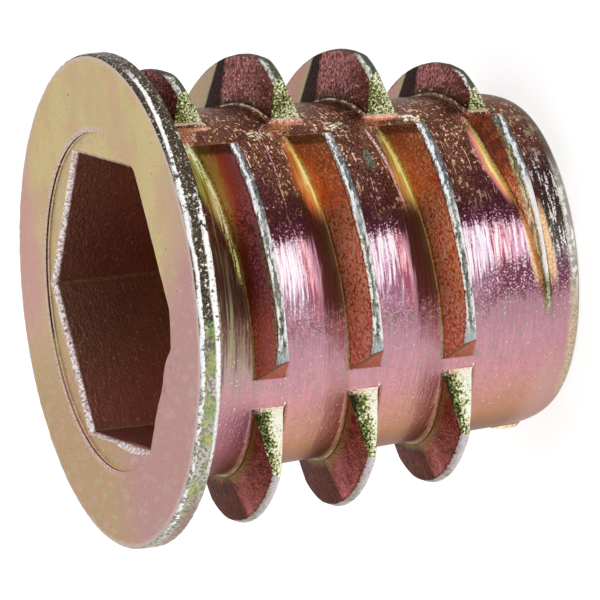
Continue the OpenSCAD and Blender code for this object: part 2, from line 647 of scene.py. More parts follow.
class Paint(Material):
    """One metal, painted in the casting's own coordinates (millimetres and degrees)."""

    def __init__(self, name):
        super().__init__(name)
        self.place = self.dim(self.add("TexCoord", {}, "Object"), 1 / MM)
        self.x, self.y, self.z = (self.add("SeparateXYZ", {0: self.place}, axis) for axis in "XYZ")
        self.r = self.math("SQRT", self.x * self.x + self.y * self.y)
        self.theta = self.math("ARCTAN2", self.y, self.x) * degrees(1)
        self.side = abs(self.theta)
        self.round_axis = self.vector(self.x / self.r * 5, self.y / self.r * 5, self.z)

    def vector(self, x, y, z):
        return self.add("CombineXYZ", {"X": x, "Y": y, "Z": z})

    def spread(self, scale, seed, at=None):
        """What places a texture: scale is its lumps per millimetre, or three such numbers."""
        scale = scale if isinstance(scale, tuple) else (scale,) * 3
        place = self.add("VectorMath", {0: at or self.place, 1: scale}, operation="MULTIPLY")
        return {"Vector": place, "W": seed, "Scale": 1.0}

    def noise(self, scale, detail, rough, seed=0, at=None):
        """Noise around 0.5."""
        inputs = {**self.spread(scale, seed, at), "Detail": detail, "Roughness": rough}
        return self.add("TexNoise", inputs, noise_dimensions="4D")

    def streaks(self, along, across, detail, seed, rough=0.5):
        """Noise drawn out round the axis: along and across are lumps per millimetre."""
        return self.noise((along, along, across), detail, rough, seed, self.round_axis)

    def cells(self, scale, seed):
        """Distance to the nearest of points scattered at about scale per millimetre."""
        return self.add("TexVoronoi", self.spread(scale, seed), "Distance", voronoi_dimensions="4D")

    def mix(self, below, above, share):
        """The colour above laid over the colour below by share."""
        return self.add("Mix", {0: share, 6: below, 7: above}, 2, data_type="RGBA", clamp_factor=True)

    def layers(self, colour, coats):
        """The colour under coats of (colour, share), laid one after another."""
        for above, share in coats:
            colour = self.mix(colour, above, share)
        return colour

    def two(self, below, above, value, start, end):
        """One colour before start of the value, another past its end."""
        return self.mix(below, above, value.step(start, end))

    def dim(self, colour, amount):
        """The colour or vector times a number."""
        return self.add("VectorMath", {0: colour, "Scale": amount}, operation="SCALE")

    def ramp(self, value, start, end, stops):
        """A colour for each value from start to end; stops maps values to colours."""
        colour = self.add("ValToRGB", {0: (value - start) / (end - start)})
        elements = colour.socket.node.color_ramp.elements
        for _ in range(len(stops) - 2):
            elements.new(0.5)
        for element, (at, screen) in zip(elements, stops.items()):
            element.position = (at - start) / (end - start)
            element.color = srgb(screen)
        return colour

    def done(self, colour, roughness, height, depth):
        """The finished metal: height, times depth in millimetres, is its bump."""
        bump = self.add("Bump", {"Strength": 1.0, "Distance": depth * MM, "Height": height}, "Normal")
        return self.shade({
            "Base Color": colour, "Specular Tint": self.mix(0xFFFFFF, colour, 0.4),
            "Roughness": roughness, "Metallic": 1.0, "Normal": bump,
        })


class ThreadPaint(Paint):
    """A metal that also knows each point's place in the thread."""

    def __init__(self, name):
        super().__init__(name)
        turns = (self.z - first_z) / pitch - self.theta / 360
        self.turn = self.math("FLOOR", turns + 0.5)
        self.axial = (turns - self.turn) * pitch
        self.height = self.r - body_end_r - self.z * body_slope
        quarter = (self.theta + parting) / slide_arc
        slide = self.math("FLOOR", quarter)
        angle = self.math("FRACT", quarter) * slide_arc - parting_to_draw
        self.along = self.r * self.math("SINE", angle * radians(1))
        self.upper = slide.band(-0.2, 0.2, 0.1)
        self.front = slide.band(-1.2, -0.8, 0.1)
        self.lower = abs(slide).band(1.8, 2.2, 0.1)
        self.first = self.turn.step(-0.6, -0.4)
        self.third = self.turn.band(-2.2, -1.8, 0.1)
        self.last = self.turn.step(-2.4, -2.6)


# ---- finishes
def body_colour(p, fine, broad):
    """Bands of bronze, plum, pink and tan round the body, drawn out by the turning marks: the passivation's
    tints with painted reflections, dark and bright, by angle, and painted shade beside the ridge roots.
    """
    place = p.side + fine.sway(14) + broad.sway(8)
    # the tints with painted dark and bright reflections round the body
    clear = p.ramp(place, 0, 180, {
        0: 0x5C483C, 14: 0x705444, 26: 0x684236, 38: 0x5C382C, 50: 0x58362E, 62: 0x4E2A2C, 71: 0x3E1C26,
        77: 0x602E42, 82: 0xE2AAC6, 92: 0xE8B4CC, 99: 0xBE869C, 106: 0xAE8290, 118: 0xC492A0, 130: 0xD0969A,
        140: 0xCA9482, 152: 0xBC8A68, 166: 0x96664C, 180: 0x805440,
    })
    # painted shade in the strip beside the ridge roots
    shaded = p.ramp(place, 0, 180, {
        0: 0x38241E, 30: 0x5A3428, 45: 0x704A2E, 56: 0x603C28, 66: 0x4E3824, 76: 0x482822, 99: 0x58302E,
        107: 0x92626C, 118: 0xBA8894, 140: 0xB87C6A, 162: 0x8A5640, 180: 0x7A4E3C,
    })
    # the painted reflection bands under the flange
    neck = p.ramp(place, 0, 180, {
        0: 0x422C24, 30: 0x5C342C, 40: 0x683E2C, 48: 0x6E5632, 60: 0x685032, 75: 0x503824, 88: 0x462A24,
        98: 0x564238, 108: 0x968C74, 118: 0xB29692, 126: 0xC49298, 138: 0xB47C8C, 150: 0xA0686C,
        166: 0x885848, 180: 0x7E5442,
    })
    reach = p.axial + broad.sway(0.4) + fine.sway(0.4)
    # where the painted shade lies, beside each ridge root on its flange side
    root_shade_mask = reach.step(1.25, 1) * p.axial.step(0.3, 0.5) * p.z.step(3.6, 3.9)
    colour = p.mix(clear, shaded, root_shade_mask)
    return p.mix(colour, neck, p.z.step(10.1, 10.5))


def dark_reflection_side(p, colour, grain, mottle):
    """The dark side of the body: a painted dark reflection in plum and olive, full of bright specks, which
    are painted glints, and thin scratches.
    """
    area = p.side.band(6, 78, 4)
    patch = p.noise(1.1, 2, 0.5, 13)
    olive = (mottle * 0.4 + patch * 0.6 - p.side * 0.003).step(0.28, 0.4)
    tint = p.two(0xD6A860, 0xECAA9C, p.noise(5, 1, 0.5, 12), 0.44, 0.54)
    tint = p.mix(tint, 0xFFF2E6, grain.step(0.5, 0.58) * 0.7)
    small = p.noise(19, 1, 0.5, 5)
    bold = p.noise((8, 8, 12), 1, 0.5, 6)
    room = p.side.band(6, 70, 5) * (1 - p.side.band(56, 80, 6) * 0.5) * (1 - p.side.step(27, 20) * 0.45)
    crowd = mottle.sway(0.3) + patch.sway(0.3) + p.side.step(40, 22) * 0.03
    scratches = p.streaks(1.8, 17, 1, 8)
    scribed = (p.axial - p.side * 0.012).band(0.7, 0.73, 0.012) * p.side.band(40, 70, 2)
    scribed = scribed * p.turn.band(-1.2, -0.8, 0.1)
    # the first coat is painted dark reflection; the specks after it are painted glints
    return p.layers(colour, [
        (p.mix(0x401E22, 0x4A341C, olive), area * grain.step(0.55, 0.45) * 0.8),
        (0x865C42, area * p.side.step(66, 48) * grain.step(0.54, 0.6) * 0.7),
        (0x9E6858, room * (small + crowd).step(0.54, 0.64) * 0.7),
        (tint, room * (bold + crowd * 0.8).step(0.62, 0.67)),
        (0xFAC4B4, room * (scratches + crowd * 0.5).step(0.655, 0.7) * 0.85),
        (0xFABEB8, scribed * grain.step(0.46, 0.52) * 0.8),
    ])


def bright_reflection_side(p, colour, grain, fine):
    """The side that mirrors the light: a painted reflection in white and pink, streaked like turning marks,
    with a ragged edge and painted specks along it.
    """
    shade = p.axial.step(0.3, 0.5) * (p.axial + fine.sway(0.3)).step(1.3, 1.15) * p.z.step(3.6, 3.9)
    free = p.z.step(10.5, 10.1) * (1 - shade)
    torn = p.noise((16, 5, 16), 2, 0.6, 14)
    place = p.side + fine.sway(10) + torn.sway(14)
    far = p.z.step(3.6, 2.4)
    below = place + far * 5
    bright = place.step(76.5, 81.5) * below.step(106, 94) * free
    falling = place.step(86, 100) * 0.12
    lines = p.streaks(0.9, 17, 3, 15, 0.6)
    pale = (p.axial + fine.sway(0.5)).step(0.1, -0.9)
    pink = p.mix(p.two(0xF0ACB8, 0xEAAECC, p.axial, 1.3, 0.6), 0xECCCE2, pale)
    fringe = place.band(75, 83, 3) * free
    speck = p.two(0xD682A4, 0xFAD6E4, grain, 0.48, 0.58)
    lower = below.band(96, 109, 3) * free
    dots = torn * 0.4 + grain * 0.6
    # painted reflection: pink with white highlight streaks and darker streaks, then painted glints at its
    # edge and dark and pale specks below it
    return p.layers(colour, [
        (pink, bright),
        (0xFFF8FC, bright * (lines + fine.sway(0.4) + pale * 0.05 - falling).step(0.5, 0.58)),
        (0x924462, bright * (lines * 0.7 + torn * 0.3 + pale * 0.02 - falling).step(0.475, 0.415) * 0.85),
        (speck, fringe * (torn * 0.7 + grain * 0.3).step(0.54, 0.6) * 0.7),
        (0x5C2C3E, lower * (dots + far * 0.04).step(0.47, 0.53) * (0.5 + far * 0.4)),
        (0xFFE2EA, lower * dots.step(0.44, 0.4) * (0.4 + far * 0.4)),
    ])


def soft_side(p, colour, grain, mottle):
    """The lower side, mottled in pink, lilac and grey green."""
    patch = p.noise(7, 3, 0.65, 16)
    area = p.side.band(101, 152, 5)
    end = p.z.step(1.7, 0.9) * p.side.step(120, 140)
    colour = p.layers(colour, [
        (0xD696A2, area * patch.step(0.52, 0.62) * 0.5),
        (0x9C9486, p.side.band(103, 128, 5) * (mottle * 0.6 + patch * 0.4).step(0.51, 0.6) * 0.6),
        (0xB6848E, area * patch.step(0.46, 0.38) * 0.5),
        # pale specks: painted glints
        (0xFAD6C8, area * (p.noise(14, 1, 0.5, 17) + mottle.sway(0.3)).step(0.69, 0.74)),
        (0xCCA8A4, end * 0.6),
    ])
    return p.dim(colour, 1 + grain.sway(0.3))


def painted_root_light(p, colour, grain, fine):
    """Painted golden light along the foot of each front ridge: greener on the first and third, pink on the
    last; a pale painted highlight along the first ridge's root and painted shade in the roots on the bright
    side.
    """
    foot = p.axial - p.last * p.side.step(80, 50) * 0.3
    narrow = (p.third * 0.5 + p.last) * (foot - 0.5) * 0.6
    reach = foot + fine.sway(0.3) + abs(p.side - 58) * 0.018 + narrow + p.last * 0.16
    tone = p.ramp(reach, 0.3, 1.2, {
        0.4: 0xE8E282, 0.58: 0xFFF0AA, 0.72: 0xFACC70, 0.88: 0xCE7C48, 1.05: 0xA8604E,
    })
    tone = p.layers(tone, [
        (0xCED67C, p.third * 0.5),
        (p.two(0xF0FFC8, 0xAAB054, reach, 0.5, 0.7), p.first),
        (0xEE9696, p.last * reach.step(0.72, 0.9)),
    ])
    lit = foot.step(0.3, 0.44) * reach.step(1.1, 0.84) * p.side.band(40, 70, 4)
    # a thin pink line on the third turn, on the flange side of its root
    pink_line = p.third * p.axial.band(0.8, 0.88, 0.03) * p.side.band(36, 68, 4)
    beside = p.first * (p.axial + p.side.step(72, 84) * 0.06).band(0.46, 0.7, 0.05) * p.side.band(40, 88, 5)
    pale = p.two(0xF6FFD8, 0xCEDE82, p.side + grain.sway(12), 66, 76)
    dark = p.axial.band(0.46, 0.7, 0.08) * p.side.band(67, 98, 4) * (1 - p.first) * (1 - p.last)
    # tone and pale are painted highlights along the root fillets; dark is painted shade in the roots on the
    # bright side
    return p.layers(colour, [
        (tone, lit),
        (0xFFCED6, pink_line * grain.step(0.4, 0.5)),
        (pale, beside * (fine * 0.6 + grain * 0.4).step(0.56, 0.46)),
        (0x503E28, dark * 0.6),
    ])


def front_flank(p, mottle, drawn, sparks):
    """Orange full of sparks, which are painted glints, with painted light on the middle of the flank and
    beside the crest; the first turn is red above and magenta below, with painted pink highlights near its
    crest; painted shade by the upper ends, and a pale green painted highlight on the last turn.
    """
    orange_and_glints = p.ramp(sparks * 0.4 + mottle * 0.3 + drawn * 0.3, 0.3, 0.7, {
        0.36: 0xFFBE7A, 0.45: 0xFA9C64, 0.53: 0xE47C52, 0.62: 0xB4563C,
    })
    salmon_highlight = p.ramp(sparks * 0.8 + drawn * 0.2, 0.3, 0.7, {
        0.4: 0xD06C4E, 0.46: 0xFFB07C, 0.53: 0xFFC28E, 0.58: 0xFFF8E4,
    })
    # the salmon band is painted light on the middle of the flank; the bright specks are painted glints
    orange_and_glints = p.layers(orange_and_glints, [
        (0xEE8A76, (p.along + mottle.sway(2)).step(0.2, -1.6) * 0.7),
        (0xCA844E, (p.along + mottle).step(3.2, 4.2) * 0.6),
        (0xB05C3E, p.last * 0.5),
        (salmon_highlight, (p.along + mottle.sway(0.8)).band(-1.4, 2, 0.5) * 0.9),
        (0x8E3C2E, sparks.step(0.45, 0.38) * 0.6),
        (0xFFE2C4, (sparks + p.height * 0.05 - p.along * 0.012).step(0.57, 0.63) * 0.85),
    ])
    first = p.ramp(p.height + sparks.sway(0.5) + drawn.sway(0.4) - p.along * 0.12, 0, 1.6, {
        0: 0xFFE096, 0.2: 0xFF987A, 0.45: 0xE67A78, 0.8: 0xD48692, 1.1: 0xF0A0B6, 1.5: 0xFABACE,
    })
    warm = p.two(0xF6A086, 0xCC7466, sparks, 0.44, 0.58)
    pink_highlights = sparks.step(0.53, 0.6) * (p.height + mottle.sway(0.5)).step(0.4, 0.7) * p.along.step(3.2, 2.4)
    pale = (p.height + mottle.sway(0.6)).step(1.14, 1.28) * p.along.band(-2.2, 1.8, 0.5)
    # the pink specks and the pale part near the crest are painted highlights
    first = p.layers(first, [
        (0x863232, sparks.step(0.5, 0.42) * p.along.step(3, 2) * 0.7),
        (0x964C3C, p.height.step(0.8, 0.3) * p.along.step(2.2, 1) * 0.85),
        (warm, (p.along + (mottle - 0.5)).step(0.4, -1.2) * 0.85),
        (0xFFBEDA, pink_highlights * 0.9),
        (p.two(0xD8D2A8, 0xA07C64, sparks, 0.46, 0.6), pale),
    ])
    colour = p.mix(orange_and_glints, first, p.first)
    end_shade = (p.along + sparks.sway(0.2)).step(3.9, 4.03) * (1 - p.last)
    low = p.two(0xFFC496, 0xFAA886, drawn, 0.44, 0.58)
    pale_green_highlight = p.last * (p.height + sparks.sway(0.12) - p.along * 0.16).step(-0.04, 0.03)
    tone = p.two(0xDEE4B0, 0xA8A478, drawn, 0.44, 0.6)
    tone = p.mix(tone, 0xFFFAD6, (p.along + (sparks - 0.5)).band(0.7, 2, 0.4) * drawn.step(0.62, 0.5))
    # the dark strip by the upper end is painted shade; the pale green coat on the last turn is a painted
    # highlight
    return p.layers(colour, [
        (0x5C4224, end_shade * 0.7),
        (p.two(0x88422E, 0x5C2C20, mottle, 0.44, 0.56), p.last * p.along.step(1.9, 3.1) * 0.85),
        (low, p.last * p.along.step(1.8, 0.9) * 0.8),
        (tone, pale_green_highlight),
    ])


def upper_flank(p, mottle):
    """Plum with a wrinkled skin, painted shade by the root, painted glints, and a dark band and a pale tan
    part beyond it that are painted reflections; darker towards the back end.
    """
    worms = p.noise((9, 12, 12), 2, 0.65, 19)
    plum = p.two(0xD08C8A, 0x603430, worms, 0.36, 0.62)
    dark_reflection_band = p.along + p.height * 0.05 + mottle.sway(0.3)
    beyond = p.along + p.height * 0.62 + mottle.sway(0.16)
    far = p.two(0xC4988C, 0xBEAE8A, p.z, 8, 8.8)
    # the dark coat by the root is painted shade and the pale specks painted glints; the dark band and the
    # tan past it are painted reflections
    return p.layers(plum, [
        (0x683C2C, p.along.step(-0.8, -2.2) * 0.7),
        (0x48361C, (p.height + mottle.sway(0.3)).step(0.45, 0.12) * 0.85),
        (0xECBAA0, p.noise((12, 7, 7), 1, 0.5, 20).step(0.64, 0.68) * 0.7),
        (0x26160E, dark_reflection_band.step(0.66, 0.92) * 0.95),
        (0xB8AA88, beyond.step(2.12, 2.3)),
        (far, beyond.step(2.4, 2.7)),
    ])


def lower_flank(p, mottle, drawn):
    """Red plum with brushed scars and painted pink highlights, a painted olive gold highlight by the root,
    and dark brown, a painted dark reflection, on its far part.
    """
    worms = p.noise((11, 10, 10), 2, 0.65, 21)
    red = p.two(0xC46A5C, 0x74362C, worms * 0.5 + drawn * 0.2 + mottle * 0.3, 0.38, 0.6)
    scars = p.noise((5, 22, 5), 2, 0.6, 26, p.vector(p.x + p.y, p.y - p.x, p.z))
    brown = p.two(0x74301A, 0x481C0C, mottle * 0.5 + worms * 0.5, 0.4, 0.6)
    brown = p.mix(brown, 0x967642, (p.height + mottle.sway(0.3)).step(0.4, 0.1) * 0.8)
    # the pink band and the olive gold by the root are painted highlights; the brown on the far part is
    # painted dark reflection
    return p.layers(red, [
        (0xE2968C, scars.step(0.6, 0.68) * 0.5),
        (0xDE8488, (p.along + p.height * 0.3).band(1.6, 2.3, 0.3) * mottle.step(0.4, 0.56) * 0.6),
        (0xA8844E, (p.height + mottle.sway(0.3)).step(0.5, 0.2) * 0.8),
        (brown, (p.along - p.height * 0.4 + mottle.sway(0.5)).step(0.75, 0.45)),
    ])


def crest_colour(p, grain, blot):
    """Worn silver: white lines along both edges of the crest, which are painted highlights, darker greys
    towards its far edge as painted shade, and a grey, pitted middle with painted white glints.
    """
    drawn = p.streaks(2.4, 14, 2, 22, 0.6)
    across = (half_top - p.axial) / (2 * half_top) + blot.sway(0.6) + drawn.sway(0.8) + grain.sway(0.5)
    # the ramps paint highlights as the white lines and shade as the darker greys
    below = p.ramp(across, 0, 1, {
        0.08: 0xFFFFFA, 0.2: 0x686A60, 0.42: 0x96968A, 0.56: 0xF0F0EE, 0.8: 0xFFFFFF, 0.98: 0xB0B0B0,
    })
    above = p.ramp(across, 0, 1, {
        0.04: 0x787670, 0.14: 0xFFFFFF, 0.34: 0xF0F2F2, 0.48: 0x82888A, 0.78: 0x62686C, 0.98: 0x424042,
    })
    front = p.mix(below, above, (p.along + blot.sway(2)).step(1.1, 2.2))
    pits = p.noise((3.5, 12, 12), 3, 0.65, 24)
    # the dark pits are pits; the white dots are painted glints
    front = p.layers(front, [
        (0x423E36, pits.step(0.53, 0.61) * across.step(0.9, 0.7) * 0.8),
        (0xFFFFFF, pits.step(0.42, 0.36) * 0.6),
        (0xC4CCCC, (p.along + (blot - 0.5)).step(-1.7, -2.1)),
    ])
    upper = p.ramp(across, 0, 1, {
        0.02: 0xD6D6CC, 0.14: 0xFFFFFA, 0.28: 0x767A6A, 0.4: 0x545A4C, 0.72: 0x6E7266, 0.95: 0xB4B4AE,
    })
    upper = p.layers(upper, [
        (0x565848, pits.step(0.5, 0.58) * 0.75),
        (0x564036, (p.along + blot.sway(0.5)).step(-1.75, -1.3)),
    ])
    lower = p.two(0xBAB2AC, 0xDED4D8, across + p.along * 0.1, 0.4, 0.8)
    lower = p.layers(lower, [
        (0x969476, blot.step(0.44, 0.58) * p.along.step(3.4, 1.8) * 0.8),
        (0x806E62, grain.step(0.55, 0.63) * 0.6),
    ])
    return p.layers(front, [(upper, p.upper), (lower, p.lower)])


def pilot_edge(p, colour, grain, mottle):
    """The worn outside of the pilot end: tan grey patches above; at the front a dark band of painted
    reflection with white streaks of painted highlight, and a white painted highlight along the edge.
    """
    near = p.z + mottle.sway(0.5)
    patches = (mottle * 0.7 + grain * 0.3).step(0.5, 0.57)
    worn = near.step(1.1, 0.8) * p.side.band(34, 62, 8) * patches
    thin = p.z.step(0.5, 0.2) * p.side.step(66, 52)
    dark = p.side.band(55, 92, 6) * near.band(0.3, 1.05, 0.12)
    streak = p.streaks(1.2, 12, 2, 25, 0.6)
    tone = p.two(0x3A262A, 0x3A3C28, p.side, 66, 80)
    tone = p.mix(tone, 0xFCF0F0, (streak * 0.6 + grain * 0.4).step(0.52, 0.58))
    tan = p.side.band(100, 150, 8) * (p.z + grain.sway(0.2)).step(0.5, 0.34)
    white = p.side.band(58, 104, 8) * (p.z + grain.sway(0.14)).step(0.42, 0.3)
    # the dark band and its streaks are painted reflection and highlights; the white band is a painted
    # highlight on the edge
    return p.layers(colour, [
        (p.two(0xBAA68C, 0x867462, grain, 0.46, 0.58), worn * 0.85),
        (0x706854, thin * grain.step(0.6, 0.5) * 0.8),
        (tone, dark * 0.95),
        (p.two(0xDECEB0, 0xB09E82, grain, 0.44, 0.58), tan * 0.85),
        (p.two(0xFAFAF4, 0xB0AA9C, mottle, 0.44, 0.56), white * 0.9),
    ])


def spot(p, z, side, half_z, half_side, wobble):
    """1 inside an oval on the front of the body, 0 outside."""
    dz, ds = (p.z - z) / half_z, (p.side - side) / half_side
    return (dz * dz + ds * ds + wobble).step(1.15, 0.85) * p.y.step(0.2, -0.2)


def marks(p, colour, grain):
    """A grey green pit, and gold and white patches at the feet of the upper ridges."""
    clot = p.noise(6, 3, 0.7, 27)
    patch = p.two(0xFFFCE8, 0xB08C4C, grain, 0.48, 0.54)
    pit = p.two(0x787C6C, 0x464438, grain, 0.45, 0.55)
    ovals = [(6.45, 33, 0.42, 3.4), (3.9, 31, 0.4, 3), (8.9, 35, 0.4, 2.4)]
    return p.layers(colour, [
        (pit, spot(p, 5.95, 51, 0.13, 4.6, grain.sway(1.5))),
        *[(patch, spot(p, *oval, (clot - 0.42) * 9)) for oval in ovals],
    ])


def ridge_ends(p, colour, grain, mottle):
    """Coral and gold on the body by the upper ends of the front ridges."""
    smear = (p.side + mottle.sway(16)).band(30, 36, 3) * (p.axial + mottle.sway(0.9)).band(0.2, 0.8, 0.2)
    strip = (p.side + grain.sway(5)).step(27.5, 28.5) * (p.axial + mottle.sway(0.5)).band(-0.5, 0.6, 0.2)
    strip = strip * (p.side + grain.sway(6) - p.axial * 1.6).step(31.6, 30.2)
    return p.layers(colour, [
        (p.two(0xFAA088, 0xFFECD6, grain, 0.48, 0.58), strip * (1 - p.last) * 0.85),
        (p.two(0xCE7864, 0xFFDEB4, grain, 0.54, 0.62), smear * (grain + mottle * 0.5).step(0.6, 0.8) * 0.9),
    ])


def neck_marks(p, colour, grain):
    """Grey green and dark turning lines below the flange, and a thin line of gold."""
    neck = p.z.step(10.2, 10.5) * p.side.band(44, 122, 6)
    lines = p.streaks(0.5, 14, 2, 18)
    gold = p.z.band(11.62, 11.72, 0.02) * p.side.band(94, 118, 4)
    return p.layers(colour, [
        (0xB0B284, neck * lines.step(0.53, 0.6) * (p.side.band(96, 112, 6) * 0.5 + 0.2)),
        (0x482626, neck * lines.step(0.47, 0.4) * 0.5),
        (0xECCE82, gold * grain.step(0.56, 0.46)),
    ])


def flanks(p, colour, grain, mottle, drawn, sparks, on_flank):
    """The sides of the ridges, with painted gold highlights along the fillets at their feet and a painted
    pale highlight beside the run-out's crest.
    """
    runout_highlight = p.last * (p.axial + grain.sway(0.1)).band(-0.41, 0.34, 0.05) * p.side.band(74, 99, 5)
    flank = p.layers(front_flank(p, mottle, drawn, sparks), [
        (upper_flank(p, mottle), p.upper),
        (lower_flank(p, mottle, drawn), p.lower),
    ])
    root = (p.height + grain.sway(0.05)).band(0.045, 0.085, 0.015)
    foot = (p.height + sparks.sway(0.06)).band(0.035, 0.13, 0.015) * p.axial.step(0, 0.1)
    foot = foot * (1 - p.upper) * (1 - p.lower) * (1 - p.last * 0.4)
    # the band beside the run-out's crest and the root and foot bands are painted highlights
    return p.layers(colour, [
        (p.two(0xFFE6B4, 0xE8AC80, grain, 0.44, 0.58), runout_highlight * 0.9),
        (flank, on_flank),
        (0xCEC8AA, root * p.upper * mottle.step(0.42, 0.56) * 0.75),
        (0x8C7440, p.lower * p.height.band(0.04, 0.14, 0.02) * 0.65),
        (0xC4AC76, p.lower * root * mottle.step(0.46, 0.56) * 0.7),
        (p.two(0xECDC88, 0xB0924C, sparks, 0.44, 0.6), foot * 0.85),
    ])


def crests(p, colour, grain, mottle, sparks):
    """The worn crests, with a dark line of painted shade beneath them and the run-out's paler one, which
    carries a painted white highlight.
    """
    edge = p.add("Attribute", {}, "Fac", attribute_name="crest")
    crest = edge - 0.02 + sparks.sway(0.14) + mottle.sway(0.16)
    crest = crest - p.lower * (mottle - 0.3) * 0.16
    silver = p.layers(crest_colour(p, grain, mottle), [
        (0xFFFCF6, p.last * (p.side + mottle.sway(8)).band(66, 98, 4) * 0.8),
        (p.two(0xC4C696, 0x808458, sparks, 0.44, 0.56), p.last * p.side.step(97, 100) * 0.9),
    ])
    # a dark line of painted shade under the crest edge
    return p.layers(colour, [
        (0x34261C, crest.band(-0.05, -0.01, 0.015) * (1 - p.upper) * 0.7),
        (silver, crest.step(-0.015, 0.015)),
    ])


def outside_finish():
    """Body, flanks, fillets and crests of the thread."""
    p = ThreadPaint("zinc_outside")
    fine = p.streaks(1.1, 15, 3, 1, 0.6)
    grain = p.noise(15, 3, 0.65)
    mottle = p.noise(3.2, 3, 0.6, 3)
    drawn = p.streaks(2.2, 13, 2, 7, 0.6)
    sparks = p.noise((11, 9.5, 9.5), 2, 0.65, 9)

    colour = p.dim(body_colour(p, fine, p.streaks(0.3, 3, 2, 2)), 1 + fine.sway(0.5))
    colour = dark_reflection_side(p, colour, grain, mottle)
    colour = bright_reflection_side(p, colour, grain, fine)
    colour = soft_side(p, colour, grain, mottle)
    colour = pilot_edge(p, colour, grain, mottle)
    colour = painted_root_light(p, colour, grain, fine)
    colour = ridge_ends(p, colour, grain, mottle)
    colour = marks(p, colour, grain)
    colour = neck_marks(p, colour, grain)

    on_flank = (p.height + grain.sway(0.06)).step(0.1, 0.16)
    colour = flanks(p, colour, grain, mottle, drawn, sparks, on_flank)
    scrap = p.height.step(0.01, 0.03) * p.side.step(164, 168) * p.z.band(0.45, 1.8, 0.05)
    colour = p.mix(colour, p.two(0xFFF6D6, 0xCEAA70, grain, 0.46, 0.58), scrap)
    colour = crests(p, colour, grain, mottle, sparks)

    rough = 0.34 + grain.sway(0.3) + on_flank * (0.8 - sparks) * 0.4
    return p.done(colour, rough, grain * 0.5 + sparks * on_flank * 2 + fine * 0.5, 0.025)


def ends_finish():
    """The flat ends of the ridges, painted lit and shaded: dark green, painted shade, towards the flange and
    pale gold, painted light, on the other side; the front ones coral, painted darker towards the flange.
    """
    p = ThreadPaint("zinc_ends")
    grain = p.noise(14, 2, 0.7)
    drift = p.noise(2.4, 2, 0.5, 2)
    # lit paints light across the end, brighter away from the flange
    lit = (0.1 - p.axial) * (0.16 + p.lower * 0.4) - 0.02
    colour = p.ramp(grain + drift.sway(0.3) + lit, 0.2, 0.8, {
        0.34: 0x262A18, 0.44: 0x586032, 0.5: 0x8C9458, 0.56: 0xD6D8A0, 0.63: 0xFFFFEC,
    })
    coral = p.two(0xD08068, 0xB06450, p.noise((3, 14, 14), 2, 0.6), 0.42, 0.6)
    # painted shade on the coral, towards the flange
    coral = p.mix(coral, 0x6E5A3C, (p.axial + p.height * 0.32).step(0.34, 0.46) * 0.8)
    colour = p.layers(colour, [
        (0xD8C4A0, (1 - p.lower) * p.height.step(1, 1.4) * 0.3),
        (coral, p.front),
        (0xFFD6C8, p.height.step(0.14, 0.07) * grain.step(0.56, 0.46)),
    ])
    return p.done(colour, 0.35, grain, 0.06)


def face_finish():
    """The flange's face and the recess in it: satin tan, with pink and mauve areas."""
    p = Paint("zinc_face")
    cloud = p.noise(0.55, 3, 0.55, 1)
    patch = p.noise((2.2, 1.1, 1), 3, 0.65, 4)
    brushed = p.noise((1.2, 6, 3), 3, 0.65, 2)
    grain = p.noise((16, 7, 7), 2, 0.6)
    colour = p.two(0xD7C48F, 0xD1B78C, cloud, 0.4, 0.62)
    lower = (p.x + cloud.sway(2)).step(1.2, -3.2)
    left = (p.y + cloud.sway(1.5) + (patch - 0.5)).step(4.3, 6.2) * p.x.band(-0.9, 5.6, 1.2)
    mauve = (p.y * -0.6 - p.x + cloud.sway(2.4) + patch.sway(1.5)).step(1.3, 4.2) * p.y.step(1.8, -1.2)
    colour = p.layers(colour, [
        (0xC5A682, lower),
        (0xD4A4A0, left * 0.85),
        (0xCFAC98, (p.y + patch.sway(2)).step(-4.6, -6.4) * p.x.step(4.6, 2.6) * 0.8),
        (0xC79A99, mauve * 0.9),
        (0xDAB0A2, patch.step(0.46, 0.34) * 0.5),
        (0xC4BE9E, patch.step(0.54, 0.66) * 0.5),
        (0xC8B4B2, p.noise((5, 2.4, 1), 2, 0.6, 7).step(0.56, 0.68) * 0.5),
    ])
    colour = p.dim(colour, 1 + brushed.sway(0.18) + grain.sway(0.4))
    # painted highlight, pale and gold, on the lit left side of the recess's ring step
    lit_left = (p.y + p.x * 0.25).step(-1.5, 1)
    ring_highlight = (p.r + grain.sway(0.2)).band(recess_r - 0.02, recess_r + 0.16, 0.03) * lit_left
    gold = p.r.band(recess_r - 0.09, recess_r - 0.03, 0.02) * lit_left * p.x.step(3.4, 1.4)
    edge = (p.r + grain.sway(0.3) + patch.sway(0.2)).step(7.02, 7.12)
    speck = p.cells((2.6, 1.6, 1), 6)
    colour = p.layers(colour, [
        (p.two(0xDEC8C2, 0xB08C80, grain, 0.5, 0.6), ring_highlight * 0.8),
        (0xE8CE6E, gold * patch.step(0.44, 0.54)),
        (0xD6C4BE, edge * 0.7),
        (0x8C765C, speck.step(0.13, 0.08) * 0.7),
        (0xFFF8E1, p.cells((1.2, 0.8, 1), 9).step(0.055, 0.035)),
    ])
    return p.done(colour, 0.42 + brushed.sway(0.2), brushed * 0.4 + grain * 0.6, 0.012)


